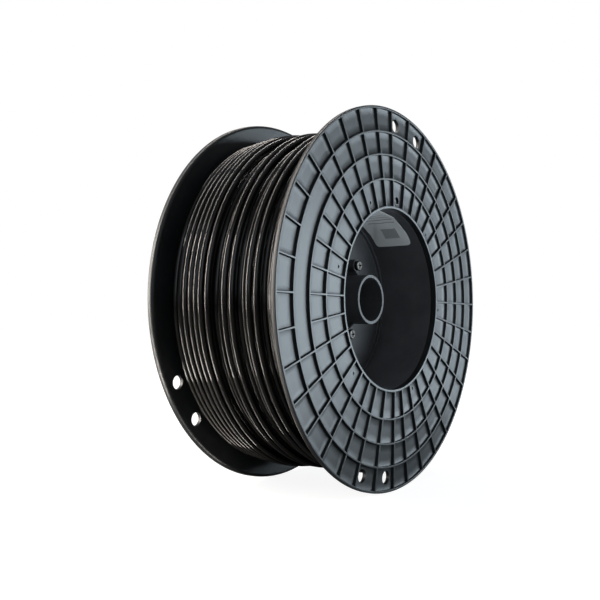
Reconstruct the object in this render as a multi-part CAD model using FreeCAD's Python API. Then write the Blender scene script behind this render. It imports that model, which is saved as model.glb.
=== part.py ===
"""Filament spool, 200 mm across the flanges and 80 mm wide, carrying about a kilogram of filament.

Millimetres. The spool's axis is Y and the origin is on it, half way between the two ends. The
near flange faces -Y. The spool stands on its rims, so +Z is up. Angles about the axis are counted
from +X towards +Z.
"""
import FreeCAD
import Part
import os
from math import asin, cos, degrees, pi, radians, sin, sqrt

V = FreeCAD.Vector
AXIS = V(0, 1, 0)
ORIGIN = V(0, 0, 0)

# Overall
flange_radius = 100.0
half_width = 40.2            # from the middle plane to the face of the bore ring
bore_radius = 47.2
small_fit = 0.1              # clearance between parts that locate each other
overshoot = 1.0              # how far a cutting tool runs past the face that it opens

# Flange
dish = 1.16                  # how far the rim lies behind the bore ring
rib_height = 1.5
web_thickness = 2.0
rib_width = 1.0
rib_count = 36
first_rib_angle = 8.1
ring_ribs_from_bore = (15.4,)
ring_ribs_from_rim = (24.7, 12.9)
bore_ring_width = 1.4
rim_width = 1.2
rim_back_round = 1.6
rim_front_chamfer = 0.3
seat_width = 2.0             # flat ring round the barrel's end, before the dish begins

# Holes of the flange
rim_hole_radius = 3.5
rim_hole_inset = 7.6         # from the rim to the holes' middles
rim_hole_spread = 7.3        # degrees each side of the rib that the pair straddles
pair_ribs = (7, 25)          # the ribs between the two holes of a pair
beside_pair_shift = 1.1      # degrees that the next ribs give way for the holes
start_hole_radius = 1.9
start_hole_from_barrel = 2.6 # from the barrel's outside to the hole's middle
start_hole_from_pair = 5.0   # degrees past the first pair's rib
plain_window_ribs = (14, 15, 16, 17, 18)
plain_window_band = 2        # counted outwards from the bore
gate_mark_radius = 0.8
gate_mark_depth = 0.4
gate_mark_from_bore = 5.6
gate_mark_angles = (35.0, 85.0, 145.0)   # each side of the first pair's rib
far_pair_angle = 33.1        # where the far flange's pair of holes stands

# Barrel
barrel_wall = 2.8
collar_height = 3.0          # ring on the flange that the barrel's end sits in
collar_wall = 1.2
ledge_depth = 2.7            # ring inside the barrel that the two hubs clamp
ledge_thickness = 3.0

# Hubs
spindle_bore_radius = 11.5
spindle_wall = 1.7
spindle_mouth = 25.8         # from the middle plane to the tube's mouth
hub_web_thickness = 2.5
hub_rim_height = 1.8
hub_rim_wall = 1.6
post_from_tube = 5.8         # from the tube's outside to the posts' middles
post_radius = 3.5
post_top = 14.7              # from the middle plane
gusset_thickness = 1.6
gusset_rise = 2.7            # how much higher a gusset is at the tube than at its post

# Screws of the hubs
screw_radius = 1.5
screw_end_stop = 2.7         # the screw stops this far short of the far post's end
screw_head_radius = 2.8
screw_head_height = 1.8
screw_head_round = 0.8
recess_width = 0.8
recess_length = 3.2
recess_depth = 1.0

# Label
label_thickness = 0.2
label_near_edge = 31.4       # from the middle plane
label_width = 23.0
label_length = 50.0
label_first_angle = 41.0

# Filament
strand_radius = 1.425
free_rim = 9.7               # how far the flanges stand out past the outer turns
least_turn_gap = 0.5         # between neighbouring turns of the outer layer
turn_gap_to_core = 0.3
turn_gap_to_flange = 0.35
last_turn_gap = 1.1          # from the last turn to the far flange, which leaves room for the free end
core_gap = 0.2
dive_radius = 6.0            # bend where the outer layer comes up out of the layer below
tuck_radius = 3.0            # bend where the free end turns into a rim hole
tuck_climb = 40.0            # degrees over which it climbs to the hole
tuck_stop = 0.2              # the free end stops this far inside the spool's end plane
straight_end = 3.2           # straight run at the buried end
pocket_clearance = 0.3
inner_end_stop = 1.2         # the inner end stops this far inside the spool's end plane
sample_spacing = 4.0         # along the strand, where the gap between turns is measured

# Worked out from the sizes above
land_radius = bore_radius + bore_ring_width
slope = dish / (flange_radius - land_radius)
flange_thickness = rib_height + web_thickness
seat_plane = half_width - flange_thickness
barrel_radius = bore_radius + barrel_wall
collar_inner = barrel_radius + small_fit
collar_outer = collar_inner + collar_wall
dish_start = collar_outer + seat_width
ring_rib_radii = ([bore_radius + step for step in ring_ribs_from_bore]
                  + [flange_radius - step for step in ring_ribs_from_rim])
rim_hole_circle = flange_radius - rim_hole_inset
start_hole_circle = barrel_radius + start_hole_from_barrel
gate_mark_circle = bore_radius + gate_mark_from_bore
pair_angle = first_rib_angle + pair_ribs[0] * 360.0 / rib_count
spindle_radius = spindle_bore_radius + spindle_wall
post_circle = spindle_radius + post_from_tube
screw_reach = post_top - screw_end_stop
winding_radius = flange_radius - free_rim
strand_circle = winding_radius - strand_radius
core_radius = strand_circle - strand_radius - turn_gap_to_core


def polar(radius, angle, y=0.0):
    """Point at a radius and an angle in degrees about the axis."""
    return V(radius * cos(radians(angle)), y, radius * sin(radians(angle)))


def turned(shape, angle):
    """The shape turned about the axis by an angle counted from +X towards +Z."""
    return shape.rotated(ORIGIN, AXIS, -angle)


def swapped(shape):
    """The shape as it sits at the other end of the spool: half a turn about Z."""
    return shape.rotated(ORIGIN, V(0, 0, 1), 180)


def ring(points):
    """Solid of revolution about the axis of a closed outline of (radius, y) points.

    A point may be (radius, y, middle radius, middle y): it is then reached by an arc through the middle.
    """
    edges = []
    for index, point in enumerate(points):
        before = points[index - 1]
        start = V(before[0], before[1], 0)
        end = V(point[0], point[1], 0)
        if len(point) == 4:
            edges.append(Part.Arc(start, V(point[2], point[3], 0), end).toShape())
        else:
            edges.append(Part.LineSegment(start, end).toShape())
    return Part.Face(Part.Wire(edges)).revolve(ORIGIN, AXIS, 360)


def rod(radius, centre, low, high):
    """Cylinder along Y through a point, from y = low to y = high."""
    return Part.makeCylinder(radius, high - low, V(centre.x, low, centre.z), AXIS)


def top_depth(radius):
    """Depth of the rib tops below the bore ring's flat face at a radius."""
    return slope * max(0.0, radius - land_radius)


def back_depth(radius):
    """Depth of the flange's inner face below the bore ring's face at a radius."""
    return flange_thickness + slope * max(0.0, radius - dish_start)


def rib_angle(index):
    """Direction of a radial rib; the two beside a pair of holes give way."""
    angle = first_rib_angle + index * 360.0 / rib_count
    for middle in pair_ribs:
        if index == middle - 1:
            angle -= beside_pair_shift
        if index == middle + 1:
            angle += beside_pair_shift
    return angle


def cell(inner, outer, first, last):
    """Prism of one pocket between two ribs, whose sides are parallel to the ribs' middle lines."""
    inner_turn = degrees(asin(rib_width / 2 / inner))
    outer_turn = degrees(asin(rib_width / 2 / outer))
    middle = (first + last) / 2
    a = polar(inner, first + inner_turn)
    b = polar(outer, first + outer_turn)
    c = polar(outer, last - outer_turn)
    d = polar(inner, last - inner_turn)
    edges = [Part.LineSegment(a, b).toShape(),
             Part.Arc(b, polar(outer, middle), c).toShape(),
             Part.LineSegment(c, d).toShape(),
             Part.Arc(d, polar(inner, middle), a).toShape()]
    prism = Part.Face(Part.Wire(edges)).extrude(V(0, 2 * flange_thickness + dish, 0))
    return prism.translated(V(0, -half_width - flange_thickness, 0))


def pockets():
    """All pockets between the ribs, with floors that follow the dish."""
    walls = [land_radius] + [r + rib_width / 2 for r in ring_rib_radii]
    ends = [r - rib_width / 2 for r in ring_rib_radii] + [flange_radius - rim_width]
    prisms = []
    for band, (inner, outer) in enumerate(zip(walls, ends)):
        ribs = [k for k in range(rib_count) if band != plain_window_band or k not in plain_window_ribs]
        for place, k in enumerate(ribs):
            follower = ribs[(place + 1) % len(ribs)]
            last = rib_angle(follower)
            if follower <= k:
                last += 360.0
            prisms.append(cell(inner, outer, rib_angle(k), last))
    floor = -half_width + rib_height
    low = -half_width - flange_thickness
    zone = ring([(bore_radius, low), (flange_radius, low),
                 (flange_radius, floor + top_depth(flange_radius)),
                 (land_radius, floor), (bore_radius, floor)])
    return [prism.common(zone) for prism in prisms]


def flange():
    """The near flange: dished web, ribs, rim, bore ring and the collar that takes the barrel."""
    face = -half_width
    rim_back = face + back_depth(flange_radius - rim_back_round)
    rim_round_middle = rim_back_round * (1 - sqrt(0.5))
    body = ring([
        (bore_radius, face),
        (land_radius, face),
        (flange_radius - rim_front_chamfer, face + top_depth(flange_radius - rim_front_chamfer)),
        (flange_radius, face + top_depth(flange_radius) + rim_front_chamfer),
        (flange_radius, rim_back - rim_back_round),
        (flange_radius - rim_back_round, rim_back,
         flange_radius - rim_round_middle, rim_back - rim_round_middle),
        (dish_start, -seat_plane),
        (collar_outer, -seat_plane),
        (collar_outer, -seat_plane + collar_height),
        (collar_inner, -seat_plane + collar_height),
        (collar_inner, -seat_plane),
        (bore_radius, -seat_plane)])
    tools = pockets()
    before = face - overshoot
    beyond = rim_back + overshoot
    for middle in pair_ribs:
        for side in (-1, 1):
            centre = polar(rim_hole_circle, rib_angle(middle) + side * rim_hole_spread)
            tools.append(rod(rim_hole_radius, centre, before, beyond))
    start = polar(start_hole_circle, pair_angle + start_hole_from_pair)
    tools.append(rod(start_hole_radius, start, before, -seat_plane + collar_height + overshoot))
    mark_floor = face + rib_height + top_depth(gate_mark_circle) + gate_mark_depth
    for angle in gate_mark_angles:
        for side in (-1, 1):
            centre = polar(gate_mark_circle, pair_angle + side * angle)
            tools.append(rod(gate_mark_radius, centre, before, mark_floor))
    return body.cut(tools)


def barrel():
    """The drum, with the ledge inside it that the hubs clamp."""
    half_ledge = ledge_thickness / 2
    ledge_radius = bore_radius - ledge_depth
    return ring([(bore_radius, -seat_plane), (barrel_radius, -seat_plane),
                 (barrel_radius, seat_plane), (bore_radius, seat_plane),
                 (bore_radius, half_ledge), (ledge_radius, half_ledge),
                 (ledge_radius, -half_ledge), (bore_radius, -half_ledge)])


def hub():
    """The near hub: web disc, low rim, spindle tube and two posts, each with a gusset."""
    disc_back = -ledge_thickness / 2
    disc_front = disc_back - hub_web_thickness
    disc_radius = bore_radius - small_fit
    rim_inner = disc_radius - hub_rim_wall
    body = ring([(spindle_bore_radius, 0), (spindle_bore_radius, -spindle_mouth),
                 (spindle_radius, -spindle_mouth), (spindle_radius, disc_front),
                 (rim_inner, disc_front), (rim_inner, disc_front - hub_rim_height),
                 (disc_radius, disc_front - hub_rim_height), (disc_radius, disc_back),
                 (spindle_radius, disc_back), (spindle_radius, 0)])
    parts = []
    holes = []
    for angle in (pair_angle, pair_angle + 180):
        centre = polar(post_circle, angle)
        parts.append(rod(post_radius, centre, -post_top, 0))
        tube_side = spindle_radius - spindle_wall / 2
        outline = [V(tube_side, disc_back, 0), V(post_circle, disc_back, 0),
                   V(post_circle, -post_top, 0), V(tube_side, -post_top - gusset_rise, 0)]
        outline.append(outline[0])
        plate = Part.Face(Part.makePolygon(outline)).extrude(V(0, 0, gusset_thickness))
        parts.append(turned(plate.translated(V(0, 0, -gusset_thickness / 2)), angle))
        holes.append(rod(screw_radius + small_fit, centre, -post_top - overshoot, overshoot))
    return body.fuse(parts).cut(holes).removeSplitter()


def screw(centre):
    """Pan head screw through both hubs' posts, its head on the near post."""
    seat = -post_top
    head_top = seat - screw_head_height
    bend = screw_head_round * (1 - sqrt(0.5))
    body = ring([(0, head_top), (screw_head_radius - screw_head_round, head_top),
                 (screw_head_radius, head_top + screw_head_round,
                  screw_head_radius - bend, head_top + bend),
                 (screw_head_radius, seat), (screw_radius, seat),
                 (screw_radius, screw_reach), (0, screw_reach)])
    slots = []
    for wide, tall in ((recess_length, recess_width), (recess_width, recess_length)):
        corner = V(-wide / 2, head_top - overshoot, -tall / 2)
        slots.append(Part.makeBox(wide, overshoot + recess_depth, tall, corner))
    return body.cut(slots).translated(centre)


def label():
    """Paper label on the barrel's inner wall."""
    inner = bore_radius - label_thickness
    span = degrees(label_length / bore_radius)
    low = -label_near_edge
    high = low + label_width
    outline = [V(inner, low, 0), V(bore_radius, low, 0), V(bore_radius, high, 0), V(inner, high, 0)]
    outline.append(outline[0])
    face = Part.Face(Part.makePolygon(outline))
    return turned(face, label_first_angle).revolve(ORIGIN, AXIS, -span)


def arc_middle(start, tangent, end):
    """Middle point of the arc that leaves start along tangent and reaches end within half a circle."""
    chord = end - start
    normal = (chord - tangent * chord.dot(tangent)).normalize()
    radius = chord.dot(chord) / (2 * chord.dot(normal))
    centre = start + normal * radius
    outward = ((start + end) * 0.5 - centre).normalize()
    return centre + outward * radius


def arc_from(start, tangent, end):
    """Arc that leaves start along tangent and reaches end."""
    return Part.Arc(start, arc_middle(start, tangent, end), end).toShape()


def biarc(start, tangent, end, end_tangent):
    """Two arcs that meet in line, from one point and direction to another."""
    gap = end - start
    both = tangent + end_tangent
    part = 2 * (1 - tangent.dot(end_tangent))
    along = gap.dot(both)
    reach = (-along + sqrt(along * along + part * gap.dot(gap))) / part
    meeting = (start + end + (tangent - end_tangent) * reach) * 0.5
    middle = arc_middle(end, end_tangent * -1, meeting)
    return [arc_from(start, tangent, meeting), Part.Arc(meeting, middle, end).toShape()]


def turn_point(angle, radius, y, rise=0.0):
    """Point and unit direction on a helix about the axis that rises along Y by rise per radian."""
    forward = V(-sin(radians(angle)), 0, cos(radians(angle)))
    direction = forward * radius + V(0, rise, 0)
    return polar(radius, angle, y), direction.normalize()


def inner_face(radius):
    """Distance from the middle plane to a flange's inner face at a radius."""
    return half_width - back_depth(radius)


def winding_route():
    """Edges of the outer layer's middle line, with its buried start and its tucked end."""
    first_y = -(inner_face(strand_circle) - turn_gap_to_flange - strand_radius)
    last_y = inner_face(strand_circle) - last_turn_gap - strand_radius
    tuck_y = inner_face(rim_hole_circle) - tuck_radius
    hole_angle = far_pair_angle + rim_hole_spread
    tuck_turn = degrees(tuck_radius / rim_hole_circle)
    climb_end = hole_angle - tuck_turn
    climb_start = climb_end - tuck_climb
    turn_count = int((last_y - first_y) / (2 * strand_radius + least_turn_gap))
    total = turn_count * 360.0
    first_angle = climb_start - total
    rise = (last_y - first_y) / radians(total)
    start, forward = turn_point(first_angle, strand_circle, first_y)
    outward = V(start.x, 0, start.z).normalize()
    bend_start = start - outward * dive_radius - forward * dive_radius
    foot = bend_start - outward * straight_end
    edges = [Part.LineSegment(foot, bend_start).toShape(), arc_from(bend_start, outward, start)]
    point = start
    direction = forward
    steps = 2 * turn_count
    for step in range(1, steps + 1):
        angle = first_angle + total * step / steps
        y = first_y + rise * radians(total * step / steps)
        target, target_direction = turn_point(angle, strand_circle, y, rise)
        edges += biarc(point, direction, target, target_direction)
        point = target
        direction = target_direction
    target, target_direction = turn_point(climb_end, rim_hole_circle, tuck_y)
    edges += biarc(point, direction, target, target_direction)
    bend_end = target + target_direction * tuck_radius + V(0, tuck_radius, 0)
    edges.append(arc_from(target, target_direction, bend_end))
    tip = V(bend_end.x, half_width - tuck_stop, bend_end.z)
    edges.append(Part.LineSegment(bend_end, tip).toShape())
    return edges, foot, outward, forward


def least_gap(edges):
    """Least free distance between turns, measured on points along the middle line.

    Each point is held against those between a quarter of a turn and a turn and a quarter further on.
    """
    points = []
    run = 0.0
    for edge in edges:
        count = max(2, int(edge.Length / sample_spacing))
        for k in range(count):
            points.append((run + edge.Length * k / count, edge.valueAt(
                edge.FirstParameter + (edge.LastParameter - edge.FirstParameter) * k / count)))
        run += edge.Length
    least = flange_radius
    turn = 2 * pi * strand_circle
    nearest = 0.25 * turn
    for i, (far_i, p) in enumerate(points):
        for far_j, q in points[i + 1:]:
            if far_j - far_i > turn + nearest:
                break
            if far_j - far_i > nearest:
                least = min(least, (p - q).Length)
    return least - 2 * strand_radius


def strand(edges):
    """Round strand along a route of lines and arcs."""
    spine = Part.Wire(edges)
    start = spine.Edges[0].valueAt(spine.Edges[0].FirstParameter)
    direction = spine.Edges[0].tangentAt(spine.Edges[0].FirstParameter)
    section = Part.Wire(Part.makeCircle(strand_radius, start, direction))
    return spine.makePipeShell([section], True, False)


def filament_core(foot, outward, forward):
    """Inner layers as one plain body, with the pocket that the outer layer comes out of."""
    step_y = seat_plane - collar_height - core_gap
    end_y = seat_plane - core_gap
    outer_y = inner_face(core_radius) - core_gap
    inner = barrel_radius + core_gap
    step = collar_outer + core_gap
    body = ring([(inner, -step_y), (step, -step_y), (step, -end_y), (dish_start, -end_y),
                 (core_radius, -outer_y), (core_radius, outer_y), (dish_start, end_y),
                 (step, end_y), (step, step_y), (inner, step_y)])
    half = strand_radius + pocket_clearance
    across = dive_radius + half
    sweep = V(forward.x, 0, forward.z).normalize()
    corner = foot - sweep * half - V(0, half, 0)
    outline = [corner, corner + sweep * across, corner + sweep * across + V(0, 2 * half, 0),
               corner + V(0, 2 * half, 0), corner]
    pocket = Part.Face(Part.makePolygon(outline)).extrude(outward * (flange_radius - core_radius + dive_radius))
    return body.cut(pocket)


def filament_inner_end():
    """The strand's inner end, standing in the near flange's start hole."""
    centre = polar(start_hole_circle, pair_angle + start_hole_from_pair)
    return rod(strand_radius, centre, -half_width + inner_end_stop, -seat_plane + core_gap)


def write(name, shape):
    """Write one node's STEP file and say what it holds."""
    shape.exportStep("parts/" + name + ".step")
    print(name, "solids", len(shape.Solids), "valid", shape.isValid(), "volume", round(shape.Volume, 1))


os.makedirs("parts", exist_ok=True)

near_flange = flange()
flipped_pair = 180.0 - pair_angle
write("near_flange", near_flange)
write("far_flange", turned(swapped(near_flange), far_pair_angle - flipped_pair))
write("barrel", barrel())

near_hub = hub()
write("near_hub", near_hub)
write("far_hub", turned(swapped(near_hub), pair_angle - flipped_pair))
screws = [screw(polar(post_circle, angle)) for angle in (pair_angle, pair_angle + 180)]
write("hub_screws", Part.makeCompound(screws))

write("barrel_label", label())

route, foot, outward, forward = winding_route()
outer_turns = strand(route)
length = sum(edge.Length for edge in route)
print("outer turns: length", round(length, 1), "volume over section times length",
      round(outer_turns.Volume / (pi * strand_radius ** 2 * length), 5))
print("least gap between turns", round(least_gap(route), 3))
write("filament_outer_turns", outer_turns)
write("filament_core", filament_core(foot, outward, forward))
write("filament_inner_end", filament_inner_end())
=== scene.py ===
# %% [markdown]
# A spool of filament is two ribbed discs on a drum, with a hub inside the drum and one long strand
# wound round it. The measured parts come from the frame, and this file gives them their finish. Each
# step has a few words on what the real thing is, how it could be made, and why this way was chosen.
# Shapes are worked out in millimetres and turned into metres as they go into a mesh.

# %% The frame and the box that it fills
from math import cos, degrees, hypot, pi, radians, sin

import bmesh
import bpy
import numpy as np
from mathutils import Matrix, Vector


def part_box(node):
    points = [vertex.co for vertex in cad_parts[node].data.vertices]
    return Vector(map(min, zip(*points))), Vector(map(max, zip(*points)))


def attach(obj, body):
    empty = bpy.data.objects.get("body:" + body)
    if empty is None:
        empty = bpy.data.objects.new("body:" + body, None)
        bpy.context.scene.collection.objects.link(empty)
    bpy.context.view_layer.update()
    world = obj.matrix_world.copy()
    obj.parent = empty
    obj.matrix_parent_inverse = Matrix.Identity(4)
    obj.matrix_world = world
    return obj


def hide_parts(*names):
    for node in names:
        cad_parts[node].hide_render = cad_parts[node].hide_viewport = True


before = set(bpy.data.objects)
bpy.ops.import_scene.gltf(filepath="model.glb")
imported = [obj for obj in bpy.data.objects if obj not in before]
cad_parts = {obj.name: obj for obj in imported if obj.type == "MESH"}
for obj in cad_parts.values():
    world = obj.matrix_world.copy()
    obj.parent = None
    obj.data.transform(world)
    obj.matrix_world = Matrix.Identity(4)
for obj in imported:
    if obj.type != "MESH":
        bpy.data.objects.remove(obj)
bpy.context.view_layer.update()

MM = 0.001
BODY = "root"

# %% [markdown]
# The sizes that pieces share come from the frame where it can give them: the discs' radius, the
# drum's length and the tube's mouth are corners of the nodes' boxes. The rest are the mould's own
# sizes, written once here.

# %% Sizes of the spool, in millimetres
near_low, near_high = [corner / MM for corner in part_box("near_flange")]
barrel_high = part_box("barrel")[1] / MM
hub_low, hub_high = [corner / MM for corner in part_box("near_hub")]
label_low, label_high = [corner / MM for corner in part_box("barrel_label")]

flange_radius = round(near_high.x, 2)
half_width = round(-near_low.y, 2)
seat_plane = round(barrel_high.y, 2)
spindle_mouth = round(-hub_low.y, 2)
disc_radius = round(hub_high.x, 2)
bore_radius = 47.2
barrel_radius = 50.0
collar_inner = 50.1
collar_outer = 51.3
collar_height = 3.0
dish_start = 53.3
dish = 1.16
rib_height = 1.5
web_thickness = 2.0
bore_ring_width = 1.4
rim_width = 1.2
rim_back_round = 1.6
ring_rib_radii = (62.6, 75.3, 87.1)
rib_count = 36
first_rib_angle = 8.1
pair_ribs = (7, 25)
beside_pair_shift = 1.1
plain_window_ribs = (14, 15, 16, 17, 18)
pair_angle = first_rib_angle + pair_ribs[0] * 360 / rib_count
far_pair_angle = 33.1
land_radius = bore_radius + bore_ring_width
slope = dish / (flange_radius - land_radius)
flange_thickness = rib_height + web_thickness
print("flange radius", flange_radius, "half width", half_width, "seat", seat_plane)

# %% [markdown]
# The camera stands where the photograph was taken from: its place, the direction that it looks in
# and its slight roll were fitted to the rims, the rings and the ribs. It is built from three
# directions instead of Euler angles, because the roll is then one plain rotation about the view.

# %% Camera
camera_place = Vector((-372.33, -251.82, -3.60)) * MM
look_azimuth = radians(53.74)
look_elevation = radians(0.494)
camera_roll = radians(-0.674)
lens_mm = 48.83


def camera_matrix():
    """Camera axes as columns: right, up and backwards, with the roll turned about the view."""
    forward = Vector((sin(look_azimuth) * cos(look_elevation),
                      cos(look_azimuth) * cos(look_elevation), sin(look_elevation)))
    level_right = forward.cross(Vector((0, 0, 1))).normalized()
    level_up = level_right.cross(forward)
    right = level_right * cos(camera_roll) + level_up * sin(camera_roll)
    up = level_up * cos(camera_roll) - level_right * sin(camera_roll)
    matrix = Matrix((right, up, -forward)).transposed().to_4x4()
    matrix.translation = camera_place
    return matrix


camera_data = bpy.data.cameras.new("camera")
camera_data.lens = lens_mm
camera_data.sensor_width = 36.0
camera_data.clip_start = 0.01
camera = bpy.data.objects.new("camera", camera_data)
bpy.context.collection.objects.link(camera)
camera.matrix_world = camera_matrix()
bpy.context.scene.camera = camera
bpy.context.scene.view_settings.view_transform = "Standard"
print("camera at", [round(value, 3) for value in camera.location])

# %% [markdown]
# Shader maths reads best as plain expressions. A Wire wraps one output socket, and adding,
# multiplying or comparing wires adds the Math nodes.

# %% Wires


class Wire:
    """An output socket that can be used in sums, products, differences and quotients."""

    def __init__(self, bench, socket):
        self.bench = bench
        self.socket = socket

    def maths(self, operation, *values):
        sockets = dict(enumerate(values))
        return self.bench.add("ShaderNodeMath", {"operation": operation}, sockets)

    def __add__(self, other):
        return self.maths("ADD", self, other)

    __radd__ = __add__

    def __sub__(self, other):
        return self.maths("SUBTRACT", self, other)

    def __rsub__(self, other):
        return self.maths("SUBTRACT", other, self)

    def __mul__(self, other):
        return self.maths("MULTIPLY", self, other)

    __rmul__ = __mul__

    def root(self):
        return self.maths("SQRT", self)

    def size(self):
        return self.maths("ABSOLUTE", self)

    def at_least(self, other):
        return self.maths("MAXIMUM", self, other)

    def fraction(self):
        return self.maths("FRACT", self)

    def ramp(self, start, end):
        """0 up to start, 1 from end, and a smooth step between them."""
        return self.bench.add("ShaderNodeMapRange", {"interpolation_type": "SMOOTHSTEP"},
                              {"Value": self, "From Min": start, "From Max": end})


print("wires ready")

# %% [markdown]
# A Bench holds one material and adds every other node through a single method, which takes the
# node's type, its settings and its sockets. Settings go first, because some of them change which
# sockets a node has.

# %% Benches


class Bench:
    """One material's node tree."""

    def __init__(self, owner):
        self.owner = owner
        owner.use_nodes = True
        self.tree = owner.node_tree
        self.tree.nodes.clear()

    def add(self, kind, settings=None, sockets=None, output=0):
        """Adds a node, sets its settings first and then its sockets, and returns one output."""
        node = self.tree.nodes.new(kind)
        for key, value in (settings or {}).items():
            setattr(node, key, value)
        for key, value in (sockets or {}).items():
            if isinstance(value, Wire):
                self.tree.links.new(value.socket, node.inputs[key])
            else:
                node.inputs[key].default_value = value
        return Wire(self, node.outputs[output]) if node.outputs else node

    def here(self):
        """Object coordinates in metres."""
        return self.add("ShaderNodeTexCoord", output="Object")

    def part(self, vector, axis):
        """One part of a vector: X, Y or Z."""
        return self.add("ShaderNodeSeparateXYZ", None, {0: vector}, axis)

    def noise(self, place, scale, detail=2.0, roughness=0.5):
        return self.add("ShaderNodeTexNoise", None, {
            "Vector": place, "Scale": scale, "Detail": detail, "Roughness": roughness})

    def blend(self, factor, first, second):
        """Colour between two colours."""
        return self.add("ShaderNodeMix", {"data_type": "RGBA"}, {0: factor, 6: first, 7: second}, 2)

    def bump(self, height, metres, strength=1.0, normal=None):
        sockets = {"Height": height, "Distance": metres, "Strength": strength}
        if normal is not None:
            sockets["Normal"] = normal
        return self.add("ShaderNodeBump", None, sockets)

    def surface(self, sockets):
        """Principled shader on the output."""
        shader = self.add("ShaderNodeBsdfPrincipled", None, sockets)
        self.add("ShaderNodeOutputMaterial", None, {"Surface": shader})
        return self.owner


def bench(name):
    """A bench for a new material."""
    return Bench(bpy.data.materials.new(name))


print("benches ready")

# %% [markdown]
# The discs are black plastic from a finely etched mould: satin, with a faint mottle where the
# plastic cooled unevenly, and rib tops that are smoother and lighter than the panels, partly rub
# marks and partly a painted highlight. The tops are found from the place alone: how deep a point
# lies under the dished plane of the rib tops.

# %% Disc plastic
disc_dark = (0.0085, 0.0095, 0.0105, 1.0)
disc_light = (0.0140, 0.0155, 0.0170, 1.0)
# Rib-top tone: rub marks plus a painted highlight.
rubbed_and_lit_tone = (0.0240, 0.0260, 0.0280, 1.0)


def disc_plastic():
    """Satin black with etched grain, and paler rub marks with a painted highlight on the tops of the ribs.
    """
    nodes = bench("disc_plastic")
    place = nodes.here()
    x = nodes.part(place, "X")
    y = nodes.part(place, "Y")
    z = nodes.part(place, "Z")
    radius = (x * x + z * z).root()
    top = half_width * MM - (radius - land_radius * MM).at_least(0.0) * slope
    depth = top - y.size()
    mottle = nodes.noise(place, 45.0, 4.0, 0.6)
    grain = nodes.noise(place, 2600.0, 2.0, 0.6)
    scuffs = nodes.noise(place, 420.0, 3.0, 0.65)
    # Lighter, smoother rib tops: rub marks plus a painted highlight where the tops catch the light.
    rubbed_and_lit_tops = (1.0 - depth.ramp(0.05 * MM, 0.35 * MM)) * scuffs.ramp(0.25, 0.6)
    colour = nodes.blend(mottle.ramp(0.3, 0.7), disc_dark, disc_light)
    colour = nodes.blend(rubbed_and_lit_tops * 0.8, colour, rubbed_and_lit_tone)
    rough = 0.33 + mottle * 0.06 + grain * 0.04 - rubbed_and_lit_tops * 0.03
    normal = nodes.bump(grain, 0.03 * MM, 0.35)
    normal = nodes.bump(mottle, 0.35 * MM, 0.25, normal)
    return nodes.surface({"Base Color": colour, "Roughness": rough, "Normal": normal})


disc_material = disc_plastic()
print("material", disc_material.name)

# %% [markdown]
# The drum and the hubs look greyer and duller than the discs where light falls through the bore, so
# they have a rougher plastic whose colour is paler than the discs' as painted light. It carries soft
# rings from the turning of the mould, which show only where light grazes them.

# %% Drum and hub plastic


def turned_plastic(name, dark, light, rough):
    """Dull dark grey plastic, paler than the discs as painted light, with faint rings about the spool's
    axis and a little dust.
    """
    nodes = bench(name)
    place = nodes.here()
    x = nodes.part(place, "X")
    z = nodes.part(place, "Z")
    radius = (x * x + z * z).root()
    cloud = nodes.noise(place, 70.0, 4.0, 0.55)
    dust = nodes.noise(place, 1500.0, 3.0, 0.7)
    rings = nodes.noise(nodes.add("ShaderNodeCombineXYZ", None, {"X": radius * 900.0}), 1.0, 2.0)
    colour = nodes.blend(cloud.ramp(0.3, 0.7), dark, light)
    colour = nodes.blend(dust.ramp(0.62, 0.8) * 0.35, colour, (0.10, 0.10, 0.098, 1.0))
    normal = nodes.bump(rings, 0.02 * MM, 0.4)
    normal = nodes.bump(cloud, 0.3 * MM, 0.2, normal)
    return nodes.surface({"Base Color": colour, "Roughness": rough + cloud * 0.14, "Normal": normal})


# Drum and hub colours are paler than the discs' black plastic: painted light for the inside of the bore.
lightened_barrel_material = turned_plastic("barrel_plastic", (0.068, 0.067, 0.072, 1), (0.088, 0.087, 0.093, 1), 0.55)
lightened_hub_material = turned_plastic("hub_plastic", (0.045, 0.045, 0.048, 1), (0.060, 0.060, 0.064, 1), 0.50)
print("materials", lightened_barrel_material.name, lightened_hub_material.name)

# %% [markdown]
# The strand is extruded, so it is glossy along its whole length, with a slight ripple from the die
# and the puller. Its own map runs along it (U, in metres) and round it (V), so the ripple follows
# the strand instead of cutting across the winding. The inner layers get a less shiny, rougher copy
# as painted shade, because what lies between the turns reads nearly black.

# %% Filament plastic


def filament_plastic(name, shine, least_rough):
    """Black plastic, a touch warm, with a slow ripple along the strand and a few dull rubs."""
    nodes = bench(name)
    place = nodes.here()
    flat = nodes.add("ShaderNodeUVMap", {"uv_map": "flat"})
    along = nodes.part(flat, "X")
    ripple = nodes.add("ShaderNodeTexNoise", {"noise_dimensions": "1D"},
                       {"W": along * 130.0, "Scale": 1.0, "Detail": 1.0})
    rubs = nodes.noise(place, 60.0, 2.0, 0.5)
    fine = nodes.noise(place, 1800.0, 2.0, 0.6)
    colour = nodes.blend(rubs.ramp(0.35, 0.7), (0.0060, 0.0054, 0.0052, 1), (0.0100, 0.0090, 0.0086, 1))
    rough = least_rough + rubs.ramp(0.5, 0.8) * 0.05 + fine * 0.01
    normal = nodes.bump(ripple, 0.02 * MM, 0.1)
    return nodes.surface({"Base Color": colour, "Roughness": rough, "Normal": normal,
                          "Specular IOR Level": shine})


filament_material = filament_plastic("filament_plastic", 0.5, 0.11)
# Shaded copy: less shine and more roughness stand in for the shade between the turns.
shaded_filament_material = filament_plastic("shaded_filament", 0.2, 0.22)
print("materials", filament_material.name, shaded_filament_material.name)

# %% [markdown]
# The label is coated paper. What is printed on a real one belongs to its maker, so this one carries
# only ruled lines and a plain tinted field, worked out from the label's own map.

# %% Label paper


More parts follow.
